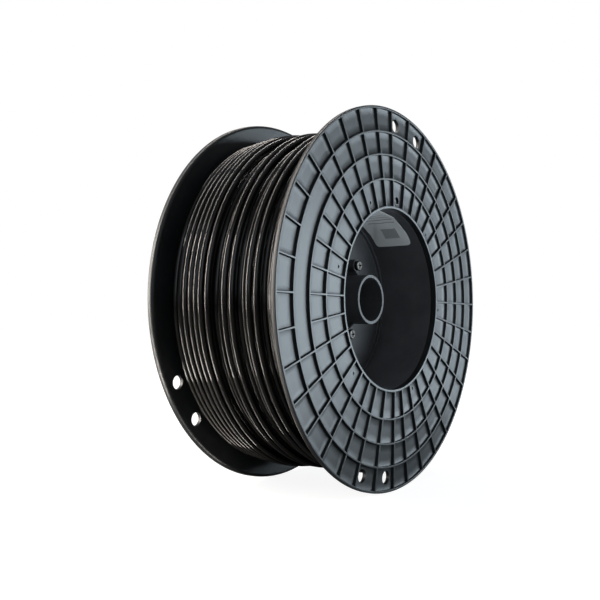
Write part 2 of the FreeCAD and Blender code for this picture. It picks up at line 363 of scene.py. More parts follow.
def label_paper():
    """Off-white paper with fibre mottle, ruled lines and one tinted field."""
    nodes = bench("label_paper")
    place = nodes.here()
    flat = nodes.add("ShaderNodeUVMap", {"uv_map": "flat"})
    along = nodes.part(flat, "X")
    across = nodes.part(flat, "Y")
    fibre = nodes.noise(place, 900.0, 4.0, 0.65)
    stain = nodes.noise(place, 90.0, 3.0, 0.6)
    paper = nodes.blend(fibre, (0.78, 0.78, 0.77, 1), (0.88, 0.88, 0.87, 1))
    rule = ((along * 16.0).fraction() - 0.5).size()
    in_rows = (1.0 - rule.ramp(0.10, 0.16)) * across.ramp(0.08, 0.10) * (1.0 - across.ramp(0.80, 0.82))
    in_rows = in_rows * along.ramp(0.36, 0.37) * (1.0 - along.ramp(0.92, 0.93))
    side = (along - 0.20).size().ramp(0.075, 0.085)
    end = (across - 0.42).size().ramp(0.20, 0.21)
    field = 1.0 - side.at_least(end)
    colour = nodes.blend(in_rows * 0.65 + field * 0.55, paper, (0.16, 0.165, 0.17, 1))
    colour = nodes.blend(stain.ramp(0.55, 0.8) * 0.12, colour, (0.40, 0.38, 0.34, 1))
    normal = nodes.bump(fibre, 0.03 * MM, 0.4)
    return nodes.surface({"Base Color": colour, "Roughness": 0.55 + fibre * 0.15, "Normal": normal})


label_material = label_paper()
print("material", label_material.name)

# %% [markdown]
# The two screws stay as the frame has them, because a pan head with a cross recess is right to the
# tenth of a millimetre there. They only need plated steel with fine turning marks, its colour
# darkened as painted shade for their place deep in the hub.

# %% Screw steel


def screw_steel():
    """Plated steel, darkened as painted shade, with fine marks and a darker, duller film in patches."""
    nodes = bench("screw_steel")
    place = nodes.here()
    marks = nodes.noise(place, 3200.0, 3.0, 0.6)
    film = nodes.noise(place, 700.0, 3.0, 0.6)
    # The whole steel tone is kept dark as painted shade; the film patches vary it at random.
    colour = nodes.blend(film.ramp(0.35, 0.7), (0.085, 0.08, 0.075, 1), (0.04, 0.036, 0.033, 1))
    normal = nodes.bump(marks, 0.01 * MM, 0.5)
    return nodes.surface({"Base Color": colour, "Roughness": 0.36 + film * 0.22, "Normal": normal,
                          "Metallic": 1.0})


darkened_steel_material = screw_steel()
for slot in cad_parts["hub_screws"].material_slots:
    slot.material = darkened_steel_material
print("material", darkened_steel_material.name)

# %% [markdown]
# Every new piece is one or more grids: rows by columns of points, worked out as whole arrays. A grid
# that closes on itself both ways is a ring, and one whose first and last rows shrink to a point is a
# ball or a rod. The helper turns grids into one mesh and makes each face look outwards.

# %% From grids to meshes


def grid_faces(rows, columns, wrap_rows):
    """Four corners of each cell; columns always wrap, and rows wrap where the grid is a ring."""
    row = np.arange(rows if wrap_rows else rows - 1)[:, None]
    column = np.arange(columns)[None, :]
    next_row = (row + 1) % rows
    next_column = (column + 1) % columns
    corners = (row * columns + column, next_row * columns + column,
               next_row * columns + next_column, row * columns + next_column)
    return np.stack(np.broadcast_arrays(*corners), -1).reshape(-1, 4)


def volume_of(points, faces):
    """Signed volume: the sum over half faces of corner dot corner cross corner, over six."""
    a, b, c, d = (points[faces[:, place]] for place in range(4))
    first = np.einsum("ij,ij->i", a, np.cross(b, c))
    second = np.einsum("ij,ij->i", a, np.cross(c, d))
    return (first + second).sum() / 6


def mesh_of(name, grids, maps=None):
    """One mesh from grids of (points, wrap_rows), in mm, each turned so that its faces look outwards.

    Maps, where given, hold two numbers for each point of a single grid."""
    all_points = []
    all_faces = []
    offset = 0
    for points, wrap_rows in grids:
        rows, columns = points.shape[:2]
        flat = points.reshape(-1, 3)
        faces = grid_faces(rows, columns, wrap_rows)
        if volume_of(flat, faces) < 0:
            faces = faces[:, ::-1]
        all_points.append(flat)
        all_faces.append(faces + offset)
        offset += len(flat)
    points = np.concatenate(all_points) * MM
    faces = np.concatenate(all_faces).astype(np.int32)
    mesh = bpy.data.meshes.new(name)
    mesh.vertices.add(len(points))
    mesh.vertices.foreach_set("co", points.astype(np.float32).ravel())
    mesh.loops.add(faces.size)
    mesh.loops.foreach_set("vertex_index", faces.ravel())
    mesh.polygons.add(len(faces))
    mesh.polygons.foreach_set("loop_start", np.arange(0, faces.size, 4, dtype=np.int32))
    mesh.update(calc_edges=True)
    if maps is not None:
        layer = mesh.uv_layers.new(name="flat")
        layer.data.foreach_set("uv", maps.reshape(-1, 2)[faces.ravel()].astype(np.float32).ravel())
    return mesh


def close_poles(mesh):
    """Merges the points that a pole or a seam has in one place, and drops faces with no area."""
    work = bmesh.new()
    work.from_mesh(mesh)
    bmesh.ops.remove_doubles(work, verts=work.verts, dist=0.0005 * MM)
    bmesh.ops.dissolve_degenerate(work, edges=work.edges, dist=0.0002 * MM)
    work.to_mesh(mesh)
    work.free()
    mesh.update()


print("grid helpers ready")

# %% [markdown]
# A finished piece sits at the origin with its place in its mesh. It rides the spool's one body, takes
# its material, and hides the measured nodes that it stands for.

# %% From meshes to pieces


def piece(name, mesh, material, nodes, sharp=32):
    """Puts a mesh into the scene as a finished piece that stands for CAD nodes."""
    mesh.shade_smooth()
    mesh.set_sharp_from_angle(angle=radians(sharp))
    mesh.materials.clear()
    mesh.materials.append(material)
    thing = bpy.data.objects.new(name, mesh)
    bpy.context.collection.objects.link(thing)
    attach(thing, BODY)
    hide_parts(*nodes)
    triangles = sum(len(face.vertices) - 2 for face in mesh.polygons)
    print(name, "triangles", triangles)
    return thing


def around(radii, angles, heights):
    """Points at radii and angles in radians about the Y axis, at heights along it."""
    return np.stack([radii * np.cos(angles), heights + 0 * angles, radii * np.sin(angles)], -1)


def swung(outline, sides=240):
    """An outline of (radius, y) swung about the axis."""
    turn = np.linspace(0, 2 * pi, sides, endpoint=False)[None, :]
    return around(outline[:, 0][:, None], turn, outline[:, 1][:, None])


def spot(circle, angle):
    """The point at an angle in degrees on a circle about the axis."""
    return np.array([circle * cos(radians(angle)), 0.0, circle * sin(radians(angle))])


def turned(points, degrees_round):
    """Points turned about the axis, counted from +X towards +Z."""
    angle = radians(degrees_round)
    x, y, z = points[..., 0], points[..., 1], points[..., 2]
    return np.stack([x * cos(angle) - z * sin(angle), y, x * sin(angle) + z * cos(angle)], -1)


def swapped(points):
    """Points as they lie at the other end of the spool: half a turn about Z."""
    return points * np.array([-1.0, -1.0, 1.0])


print("piece helpers ready")

# %% [markdown]
# A disc could be a solid with a few hundred pockets cut into it, but cutting leaves knife edges that
# catch no light. Here it is one grid instead. Its columns follow the ribs: some keep a fixed distance
# in millimetres from a rib's middle line, and the others share out the panel between two ribs. Its
# rows follow the rings in the same way. One profile serves both: a rounded shoulder, a drafted wall
# and a small fillet at the foot.

# %% Columns of the ribbed disc
rib_profile = np.array([          # distance from the rib's middle line, depth below its top
    (0.00, 0.00), (0.28, 0.00), (0.40, 0.03), (0.47, 0.11), (0.50, 0.28),
    (0.54, 1.86), (0.60, 2.03), (0.72, 2.10)])
half_rib = 0.5
shoulder = rib_profile[:, 0]
shoulder_depth = rib_profile[:, 1] * rib_height / rib_profile[-1, 1]
panel_shares = np.array([0.2, 0.4, 0.6, 0.8])


def rib_angles():
    """Direction of each rib; the two beside a pair of holes give way."""
    index = np.arange(rib_count)
    angles = first_rib_angle + index * 360 / rib_count
    for middle in pair_ribs:
        rib_before = beside_pair_shift * (index == middle - 1)
        rib_after = beside_pair_shift * (index == middle + 1)
        angles = angles - rib_before + rib_after
    return angles


def disc_columns():
    """Angle of every column at any radius, with its depth profile and the rib that it belongs to."""
    angles = rib_angles()
    after = np.roll(angles, -1)
    after[-1] += 360
    cells = np.arange(rib_count)[:, None]
    share = np.concatenate([0 * shoulder, panel_shares, 0 * shoulder[1:] + 1])[None, :]
    offset = np.concatenate([shoulder, 0 * panel_shares + shoulder[-1], shoulder[:0:-1]])[None, :]
    depth = np.concatenate([shoulder_depth, 0 * panel_shares + rib_height, shoulder_depth[:0:-1]])
    shape = (rib_count, share.shape[1])
    return {
        "from": np.broadcast_to(angles[:, None], shape).ravel(),
        "to": np.broadcast_to(after[:, None], shape).ravel(),
        "share": np.broadcast_to(share, shape).ravel(),
        "offset": np.broadcast_to(offset, shape).ravel(),
        "depth": np.broadcast_to(depth[None, :], shape).ravel(),
        "rib": np.broadcast_to((cells + (share > 0.5)) % rib_count, shape).ravel()}


def column_angles(columns, radii):
    """Rows by columns of angles in radians: fixed distance from a rib, or a share of the panel."""
    turn = np.degrees(np.arcsin(columns["offset"][None, :] / radii[:, None]))
    start = columns["from"][None, :] + turn
    end = columns["to"][None, :] - turn
    share = columns["share"][None, :]
    return np.radians(start * (1 - share) + end * share)


print("ribs at", np.round(rib_angles()[:3], 1), "and on")

# %% [markdown]
# The rows go outwards over the bore ring, the three ring ribs and the rim. Between two rings two more
# rows share out the panel. Each row brings the depth that the rings alone would give it.

# %% Rows of the ribbed disc
edge_round = 0.3


def ring_rows():
    """Radii of the rows on the ribbed side, with the depth that the rings alone give them."""
    up = np.stack([-shoulder[::-1], shoulder_depth[::-1]], -1)
    down = np.stack([shoulder, shoulder_depth], -1)
    rows = [(bore_radius + edge_round, 0.0)]
    rows += [(land_radius - half_rib + a, d) for a, d in down[1:]]
    for middle in ring_rib_radii:
        last = rows[-1][0]
        first = middle - shoulder[-1]
        rows += [(last + (first - last) * part, rib_height) for part in (1 / 3, 2 / 3)]
        rows += [(middle + a, d) for a, d in up[:-1]] + [(middle + a, d) for a, d in down]
    last = rows[-1][0]
    wall = flange_radius - rim_width
    first = wall + half_rib - shoulder[-1]
    rows += [(last + (first - last) * part, rib_height) for part in (1 / 3, 2 / 3)]
    rows += [(wall + half_rib + a, d) for a, d in up[:-1]]
    rows += [(flange_radius - edge_round, 0.0)]
    return np.array(rows)


def top_depth(radii):
    """Depth of the rib tops under the bore ring's face."""
    return slope * np.maximum(0.0, radii - land_radius)


print("rows on the ribbed side", len(ring_rows()))

# %% [markdown]
# The rest of the disc is plain: a rounded rim, a smooth inner face, the collar that the drum is
# pressed into, and the bore wall. The ribbed rows and this outline make one grid that closes both
# ways. The depth of each ribbed point is the lesser of two profiles, across the ribs and the rings.

# %% The ribbed disc as one grid


def arc(centre, radius, first, last, steps):
    """Points (radius, height) on an arc, its angles in degrees from the outward direction."""
    turn = np.radians(np.linspace(first, last, steps))
    return np.stack([centre[0] + radius * np.cos(turn), centre[1] + radius * np.sin(turn)], -1)


def disc_rest():
    """Outline (radius, y) of the rim, the inner face, the collar and the bore wall."""
    face = -half_width
    front = face + slope * (flange_radius - land_radius)
    rim_back = face + flange_thickness + slope * (flange_radius - rim_back_round - dish_start)
    seat = -seat_plane
    collar_top = seat + collar_height - edge_round
    parts = [
        arc((flange_radius - edge_round, front + edge_round), edge_round, -70, 0, 4),
        arc((flange_radius - rim_back_round, rim_back - rim_back_round), rim_back_round, 0, 90, 9),
        [(flange_radius - rim_back_round - 0.4, rim_back - 0.4 * slope)],
        [(radius, seat + slope * (radius - dish_start)) for radius in (86.0, 75.0, 64.0, 54.0)],
        [(dish_start - 0.5, seat), (collar_outer + 0.5, seat)],
        arc((collar_outer + edge_round, seat + edge_round), edge_round, 270, 180, 4),
        arc((collar_outer - edge_round, collar_top), edge_round, 0, 90, 4),
        arc((collar_inner + edge_round, collar_top), edge_round, 90, 180, 4),
        [(collar_inner, seat + 0.2), (collar_inner - 0.2, seat)],
        [(bore_radius + 0.5, seat), (bore_radius + 0.2, seat), (bore_radius, seat - 0.2)],
        [(bore_radius, seat - 0.6), (bore_radius, face + 0.6)],
        arc((bore_radius + edge_round, face + edge_round), edge_round, 180, 250, 4)]
    return np.concatenate([np.array(part) for part in parts])


def disc_grid():
    """The near disc: ribbed rows, then the plain outline, closed both ways."""
    columns = disc_columns()
    rows = ring_rows()
    radii = rows[:, 0]
    across = np.broadcast_to(columns["depth"][None, :], (len(rows), len(columns["depth"]))).copy()
    in_band = (radii > ring_rib_radii[1]) & (radii < ring_rib_radii[2])
    plain = np.isin(columns["rib"], plain_window_ribs)
    across[np.ix_(in_band, plain)] = rib_height
    depth = np.minimum(rows[:, 1][:, None], across)
    front = around(radii[:, None], column_angles(columns, radii),
                   (-half_width + top_depth(radii))[:, None] + depth)
    rest = disc_rest()
    back = around(rest[:, 0][:, None], column_angles(columns, rest[:, 0]), rest[:, 1][:, None])
    return np.concatenate([front, back])


near_disc = disc_grid()
print("disc grid", near_disc.shape[0], "rows", near_disc.shape[1], "columns")

# %% [markdown]
# The holes are drilled afterwards. A boolean is the right tool for a round hole in a closed grid,
# because the hole's edge needn't follow any row or column. The same drill makes the four rim holes,
# the hole for the strand's start and the shallow marks that the mould's gates leave.

# %% Drilling the disc
rim_hole_radius = 3.5
rim_hole_circle = 92.4
rim_hole_spread = 7.3
start_hole_radius = 1.9
start_hole_circle = 52.6
start_hole_from_pair = 5.0
gate_mark_radius = 0.8
gate_mark_depth = 0.4
gate_mark_circle = 52.8
gate_mark_angles = (35.0, 85.0, 145.0)
drill_start = -half_width - 1.0


def rod_grid(radius, circle, angle, low, high, sides):
    """Closed rod along Y through the point at an angle on a circle."""
    outline = np.array([(0.0, low), (radius, low), (radius, high), (0.0, high)])
    return swung(outline, sides) + spot(circle, angle)


def drills():
    """All the rods that are taken out of the near disc."""
    rods = []
    for middle in pair_ribs:
        for side in (-1, 1):
            angle = rib_angles()[middle] + side * rim_hole_spread
            rods.append(rod_grid(rim_hole_radius, rim_hole_circle, angle, drill_start, -seat_plane + 3, 64))
    rods.append(rod_grid(start_hole_radius, start_hole_circle, pair_angle + start_hole_from_pair,
                         drill_start, -seat_plane + collar_height + 1, 40))
    mark_floor = -half_width + rib_height + top_depth(gate_mark_circle) + gate_mark_depth
    for angle in gate_mark_angles:
        for side in (-1, 1):
            rods.append(rod_grid(gate_mark_radius, gate_mark_circle, pair_angle + side * angle,
                                 drill_start, mark_floor, 24))
    return rods


def drilled(name, disc, rods):
    """The disc's mesh with the rods taken out of it."""
    solid = bpy.data.objects.new(name + "_solid", mesh_of(name, [(disc, True)]))
    cutter_mesh = mesh_of(name + "_drills", [(rod, False) for rod in rods])
    close_poles(cutter_mesh)
    cutter = bpy.data.objects.new(name + "_drills", cutter_mesh)
    for thing in (solid, cutter):
        bpy.context.collection.objects.link(thing)
    cut = solid.modifiers.new("drill", "BOOLEAN")
    cut.object = cutter
    cut.operation = "DIFFERENCE"
    cut.solver = "EXACT"
    ready = solid.evaluated_get(bpy.context.evaluated_depsgraph_get())
    mesh = bpy.data.meshes.new_from_object(ready)
    mesh.name = name
    for thing in (solid, cutter):
        bpy.data.objects.remove(thing)
    return mesh


near_rods = drills()
piece("near_disc", drilled("near_disc", near_disc, near_rods), disc_material,
      ["near_flange"])
far_turn = far_pair_angle - (180 - pair_angle)
far_disc = turned(swapped(near_disc), far_turn)
far_rods = [turned(swapped(rod), far_turn) for rod in near_rods]
piece("far_disc", drilled("far_disc", far_disc, far_rods), disc_material,
      ["far_flange"])

# %% [markdown]
# The drum and the hubs are turned shapes. A profile is a short list of corners, each with its own
# rounding, and a helper swings it about the axis. The points beside each rounding keep the flat
# faces flat in the shading.

# %% Turned profiles


def rounded(corners, steps=4, hold=0.12):
    """Outline through (radius, y, rounding) corners, each an arc between two holding points."""
    corners = np.array(corners, float)
    before = np.roll(corners, 1, 0)
    after = np.roll(corners, -1, 0)
    outline = []
    for (r0, y0, _), (r, y, size), (r1, y1, _) in zip(before, corners, after):
        here = np.array([r, y])
        back = np.array([r0, y0]) - here
        ahead = np.array([r1, y1]) - here
        back /= np.linalg.norm(back)
        ahead /= np.linalg.norm(ahead)
        if size <= 0:
            outline.append(here[None, :])
            continue
        half = np.arccos(np.clip(back @ ahead, -1, 1)) / 2
        reach = size / np.tan(half)
        centre = here + (back + ahead) / np.linalg.norm(back + ahead) * size / np.sin(half)
        first = here + back * reach
        last = here + ahead * reach
        share = np.linspace(0, 1, steps)[:, None]
        chord = first * (1 - share) + last * share - centre
        bend = centre + chord / np.linalg.norm(chord, axis=1, keepdims=True) * size
        outline += [(first + back * hold)[None, :], bend, (last + ahead * hold)[None, :]]
    return np.concatenate(outline)


print("turning helper ready")

# %% [markdown]
# The drum is a plain pipe with a low ledge round the middle of its bore, on which the hubs lie. It
# could be a cylinder with a second one cut out of it, but one swung profile gives every edge its
# small round at once.

# %% The drum
ledge_depth = 2.7
half_ledge = 1.5
seat_gap = 0.05
barrel_end = seat_plane - seat_gap
ledge_radius = bore_radius - ledge_depth
barrel_outline = rounded([
    (bore_radius, -barrel_end, 0.2), (barrel_radius, -barrel_end, 0.2),
    (barrel_radius, barrel_end, 0.2), (bore_radius, barrel_end, 0.2),
    (bore_radius, half_ledge, 0.3), (ledge_radius, half_ledge, 0.3),
    (ledge_radius, -half_ledge, 0.3), (bore_radius, -half_ledge, 0.3)])
piece("drum", mesh_of("drum", [(swung(barrel_outline), True)]), lightened_barrel_material,
      ["barrel"])

# %% [markdown]
# Each hub is a web disc that lies on the drum's inner ledge, with a low rim, the spindle tube, and
# two posts that take the screws. A thin gusset joins each post to the tube. The posts and gussets
# are closed shapes of their own that run a little into the web, so no union has to be worked out.

# %% The hubs
spindle_bore = 11.5
spindle_wall = 1.7
web_front = 4.0
hub_rim_wall = 1.6
hub_rim_front = 5.8
post_circle = 19.0
post_radius = 3.5
post_top = 14.7
gusset_thickness = 1.6
gusset_rise = 2.7
sunk_into_web = -2.0
spindle_radius = spindle_bore + spindle_wall


def post_grid(angle):
    """Round post with a softened top, from inside the web."""
    outline = np.array([
        (0.0, sunk_into_web), (post_radius, sunk_into_web), (post_radius, -web_front - 0.2),
        (post_radius, -post_top + 0.5), (post_radius - 0.06, -post_top + 0.2),
        (post_radius - 0.2, -post_top + 0.06), (post_radius - 0.5, -post_top),
        (1.6, -post_top), (1.6, -post_top + 1.0), (0.0, -post_top + 1.0)])
    return swung(outline, 48) + spot(post_circle, angle)


def gusset_grid(angle):
    """Thin plate from the tube to the post: its outline at both sides, shrunk to a point at each face."""
    tube_side = spindle_radius - spindle_wall / 2
    outline = np.array([
        (tube_side, sunk_into_web), (post_circle, sunk_into_web), (post_circle, -post_top + 0.4),
        (post_circle - post_radius, -post_top - 0.2), (tube_side, -post_top - gusset_rise)])
    middle = outline.mean(0)
    half = gusset_thickness / 2
    rows = [(0.0, -half), (0.97, -half), (1.0, -half + 0.2), (1.0, half - 0.2), (0.97, half), (0.0, half)]
    points = [np.concatenate([middle + (outline - middle) * share,
                              np.full((len(outline), 1), side)], 1) for share, side in rows]
    return turned(np.array(points), angle)


def hub_grids():
    """The near hub: one swung outline, two posts and two gussets."""
    rim_inner = disc_radius - hub_rim_wall
    outline = rounded([
        (spindle_bore, -0.05, 0.1), (spindle_bore, -spindle_mouth, 0.25),
        (spindle_radius, -spindle_mouth, 0.25), (spindle_radius, -web_front, 0.8),
        (rim_inner, -web_front, 0.5), (rim_inner, -hub_rim_front, 0.3),
        (disc_radius, -hub_rim_front, 0.3), (disc_radius, -half_ledge - 0.05, 0.2),
        (spindle_radius, -half_ledge - 0.05, 0.2), (spindle_radius, -0.05, 0.1)])
    grids = [(swung(outline), True)]
    for angle in (pair_angle, pair_angle + 180):
        grids.append((post_grid(angle), False))
        grids.append((gusset_grid(angle), False))
    return grids


def hub(name, grids, node):
    """A hub piece from its grids."""
    mesh = mesh_of(name, grids)
    close_poles(mesh)
    return piece(name, mesh, lightened_hub_material, [node])


near_hub_grids = hub_grids()
hub("near_hub_disc", near_hub_grids, "near_hub")
hub_turn = pair_angle - (180 - pair_angle)
far_hub_grids = [(turned(swapped(points), hub_turn), ring) for points, ring in near_hub_grids]
hub("far_hub_disc", far_hub_grids, "far_hub")

# %% [markdown]
# The label is a thin sheet bent round the drum's inner wall. Its grid is a set of closed loops, each
# a rounded oblong that shrinks to a point on the front and on the back, so the corners are round
# without a cut. The free end stands off the wall by a fraction of a millimetre, as an old label's does.

# %% The label
label_first_angle = 41.0
label_length = 50.0
label_thickness = 0.12
label_corner_power = 2 / 14
label_wall_gap = 0.03
free_end_lift = 0.30
paper_wave = 0.05


def label_shell():
    """Front and back of the paper as loops: cosine and sine of a turn, each to a small power."""
    span = degrees(label_length / bore_radius)
    width = label_high.y - label_low.y
    loops = []
    maps = []
    for share, depth in ((0.0, 1.0), (0.55, 1.0), (1.0, 1.0), (1.0, 0.0), (0.55, 0.0), (0.0, 0.0)):
        turn = np.linspace(0, 2 * pi, 160, endpoint=False)
        along = np.sign(np.cos(turn)) * np.abs(np.cos(turn)) ** label_corner_power * share
        across = np.sign(np.sin(turn)) * np.abs(np.sin(turn)) ** label_corner_power * share
        angle = np.radians(label_first_angle + span * (along + 1) / 2)
        y = (label_low.y + label_high.y) / 2 + across * width / 2
        lift = free_end_lift * np.clip(-along - 0.8, 0, 1) / 0.2
        lift = lift + paper_wave * np.sin(5 * along + 3 * across) + paper_wave
        radius = bore_radius - lift - label_wall_gap - label_thickness * depth
        loops.append(around(radius, angle, y))
        maps.append(np.stack([(along + 1) / 2, (across + 1) / 2], -1))
    return np.array(loops), np.array(maps)


def label_piece():
    """The label with its own flat map, which the paper's pattern reads."""
    points, maps = label_shell()
    mesh = mesh_of("label", [(points, False)], maps)
    close_poles(mesh)
    return piece("label", mesh, label_material, ["barrel_label"])


label_piece()

# %% [markdown]
# The winding could be a few hundred turns of real strand, but only the outer layer and what shows
# between its turns is ever seen. The inner layers are one closed grid whose radius waves along the
# axis, one wave to a turn, and the wave climbs one pitch in each turn, as wound strand does.

# %% The inner layers
strand_radius = 1.425
inner_pitch = 2.95
inner_circle = 85.9
winding_end = 35.2
core_gap = 0.2
wave_depth = 0.92
layer_sides = 300
layer_unevenness = 0.30


def inner_layers():
    """Radius = circle + a slow lift + strand radius * root of (1 - depth * place in the wave squared)."""
    turn = np.linspace(0, 2 * pi, layer_sides, endpoint=False)[None, :]
    y = np.linspace(-winding_end + 0.8, winding_end - 0.8, 200)[:, None]
    sway = 0.35 * np.sin(3 * turn + y / 7) + 0.25 * np.sin(5 * turn - y / 4)
    phase = (y + sway) / inner_pitch - turn / (2 * pi)
    wave = (phase - np.round(phase)) * 2
    lift = layer_unevenness * np.sin(2 * turn + y / 9) * np.sin(y / 5.5)
    radius = inner_circle + lift + strand_radius * np.sqrt(1 - wave_depth * wave ** 2)
    outer = around(radius, turn, y + 0 * turn)
    inner = barrel_radius + core_gap
    step = collar_outer + core_gap
    step_y = seat_plane - collar_height - core_gap
    end_y = seat_plane - core_gap
    outline = np.array([(inner_circle - 1.0, winding_end - 0.5), (dish_start, end_y), (step, end_y),
                        (step, step_y), (inner, step_y), (inner, -step_y), (step, -step_y),
                        (step, -end_y), (dish_start, -end_y), (inner_circle - 1.0, -winding_end + 0.5)])
    points = np.concatenate([outer, swung(outline, layer_sides)])
    arc_length = np.broadcast_to(turn * inner_circle * MM, points.shape[:2])
    return points, np.stack([arc_length, 0 * arc_length], -1)


layer_points, layer_maps = inner_layers()
# The inner layers take the shaded copy of the strand's plastic, as painted shade.
piece("inner_layers", mesh_of("inner_layers", [(layer_points, True)], layer_maps), shaded_filament_material,
      ["filament_core"], sharp=60)

# %% [markdown]
# The outer layer is one strand. Its route is worked out in turns: at the side that the camera sees,
# each turn has a place along the axis and a height, chosen from the photograph, and between
# them it drifts smoothly. Six turns are sunk into the layer below, where the photograph shows only
# dark gaps. The strand comes up out of that layer, and its free end climbs the last part of a turn
# and tucks through a hole in the far rim.

# %% The outer strand's route
strand_circle = 88.875
first_angle = -1.5
turn_places = np.array([           # along the axis where the strand crosses the left side
    -34.1, -31.2, -28.3, -26.0, -22.1, -19.5, -15.1, -12.7, -7.7, -5.1,
    -0.7, 1.7, 6.8, 9.4, 13.4, 16.4, 20.0, 23.9, 27.7, 31.1])
turn_heights = np.array([          # above or below the usual circle, in the same order
    0.0, 0.2, -0.4, -2.7, -2.7, 0.3, 0.3, -2.7, -2.7, 0.3,
    0.6, -2.6, -2.6, 1.1, 1.5, 1.5, 1.2, 0.8, 0.3, 0.0])
turn_count = len(turn_places)
first_turn_shift = -0.1
last_turn_shift = 3.8
wander_size = 0.05
samples_per_turn = 240
dive_radius = 6.0
buried_end = 3.2
hole_angle = far_pair_angle + rim_hole_spread
tuck_radius = 3.0
tip_y = half_width - 0.2
tuck_y = 32.84


def eased(values, at):
    """Values at whole steps joined by cosine easing."""
    low = np.clip(np.floor(at).astype(int), 0, len(values) - 1)
    high = np.clip(low + 1, 0, len(values) - 1)
    part = at - np.floor(at)
    part = (1 - np.cos(pi * part)) / 2
    return values[low] * (1 - part) + values[high] * part


def wound_part():
    """The turns: angle, radius and place along the axis at each sample."""
    turns = np.arange(0, turn_count * samples_per_turn + 1) / samples_per_turn
    left_side = turns - (180 - first_angle) / 360
    first_y = turn_places[0] + first_turn_shift
    last_y = turn_places[-1] + last_turn_shift
    y = eased(np.concatenate([[first_y], turn_places, [last_y]]), left_side + 1)
    height = eased(np.concatenate([[0.0], turn_heights, [0.0]]), left_side + 1)
    wander = np.sin(2 * pi * turns * 1.37 + 0.8) + np.sin(2 * pi * turns * 2.31)
    settle = np.clip(turns, 0, 1) * np.clip(turn_count - turns, 0, 1)
    y = y + wander_size * wander * settle
    return first_angle + turns * 360, strand_circle + height, y


def directions_at(point):
    """Outwards from the axis at a point, and forwards along the winding there."""
    outward = np.array([point[0], 0.0, point[2]]) / hypot(point[0], point[2])
    return outward, np.array([-outward[2], 0.0, outward[0]])


def strand_route():
    """Points of the middle line, and how many of them belong to the foot and the dive."""
    angle, radius, y = wound_part()
    wound = around(radius, np.radians(angle), y)
    start = wound[0]
    outward, forward = directions_at(start)
    turn = np.linspace(0, pi / 2, 9)[:-1, None]
    centre = start - outward * dive_radius
    dive = centre + outward * dive_radius * np.sin(turn) - forward * dive_radius * np.cos(turn)
    foot = dive[0] - outward * np.linspace(buried_end, 0, 4)[:-1, None]
    share = np.linspace(0, 1, 31)[1:, None]
    ease = (1 - np.cos(pi * share)) / 2
    bend_turn = degrees(tuck_radius / rim_hole_circle)
    climb_angle = angle[-1] + share * ((hole_angle - bend_turn - angle[-1]) % 360)
    climb = around(radius[-1] + (rim_hole_circle - radius[-1]) * ease, np.radians(climb_angle),
                   y[-1] + (tuck_y - y[-1]) * ease)[:, 0]
    last_forward = directions_at(climb[-1])[1]
    axis = np.array([0.0, 1.0, 0.0])
    turn = np.linspace(0, pi / 2, 9)[1:, None]
    bend = (climb[-1] + last_forward * tuck_radius * np.sin(turn)
            + axis * tuck_radius * (1 - np.cos(turn)))
    tip = bend[-1] + axis * np.linspace(0, tip_y - bend[-1][1], 5)[1:, None]
    return np.concatenate([foot, dive, wound, climb, bend, tip]), len(foot) + len(dive)


route, dive_count = strand_route()
print("strand length, mm", round(float(np.linalg.norm(np.diff(route, axis=0), axis=1).sum())))

# %% [markdown]
# A curve with a round bevel could draw the strand, but its sections may twist and its map is hard to
# steer. Here each section is set square to the route, with one direction kept to the spool's radius,
# so the ring of points never twists. The map runs along the strand in metres and once round it.

# %% The outer strand


def tube(points, dive_count, radius, sides=18):
    """Point = middle + radius times (cosine of the turn * out + sine of the turn * side).

    Out is square to the dive's bend at the start and to the spool's radius elsewhere."""
    tangent = np.gradient(points, axis=0)
    tangent /= np.linalg.norm(tangent, axis=1, keepdims=True)
    axis = np.array([0.0, 1.0, 0.0])
    out = points * np.array([1.0, 0.0, 1.0])
    out /= np.linalg.norm(out, axis=1, keepdims=True)
    out[:dive_count] = np.cross(axis, tangent[:dive_count])
    out -= tangent * (out * tangent).sum(1, keepdims=True)
    out /= np.linalg.norm(out, axis=1, keepdims=True)
    side = np.cross(tangent, out)
    turn = np.linspace(0, 2 * pi, sides, endpoint=False)[None, :, None]
    ring = np.cos(turn) * out[:, None, :] + np.sin(turn) * side[:, None, :]
    body = points[:, None, :] + radius * ring
    start = np.repeat(points[:1, None, :], sides, 1)
    end = np.repeat(points[-1:, None, :], sides, 1)
    steps = np.linalg.norm(np.diff(points, axis=0), axis=1)
    run = np.concatenate([[0.0], np.cumsum(steps)])
    run = np.concatenate([run[:1], run, run[-1:]])[:, None] * MM
    share = np.arange(sides)[None, :] / sides
    return np.concatenate([start, body, end]), np.stack(np.broadcast_arrays(run, share), -1)


strand_points, strand_maps = tube(route, dive_count, strand_radius)
strand_mesh = mesh_of("outer_strand", [(strand_points, False)], strand_maps)
close_poles(strand_mesh)
piece("outer_strand", strand_mesh, filament_material, ["filament_outer_turns"], sharp=60)

# %% [markdown]
# The strand's other end stops in the start hole of the near disc. It is a short rod along the axis
# with a cut face, sunk a little so that the hole reads dark, and it has the shaded copy of the
# strand's plastic, as painted shade.

# %% The inner end
end_low, end_high = [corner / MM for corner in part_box("filament_inner_end")]
end_sink = 1.2
end_face = end_low.y + end_sink


def inner_end():
    """The strand's inner end in the start hole, with a cut face that is slightly rounded."""
    outline = np.array([(0.0, end_face), (0.9, end_face), (1.25, end_face + 0.06),
                        (strand_radius, end_face + 0.3), (strand_radius, end_high.y), (0.0, end_high.y)])
    middle = np.array([(end_low.x + end_high.x) / 2, 0.0, (end_low.z + end_high.z) / 2])
    return swung(outline, 32) + middle


end_points = inner_end()
end_maps = end_points[..., :2] * MM
end_mesh = mesh_of("inner_end", [(end_points, False)], end_maps)
close_poles(end_mesh)
piece("inner_end", end_mesh, shaded_filament_material, ["filament_inner_end"])
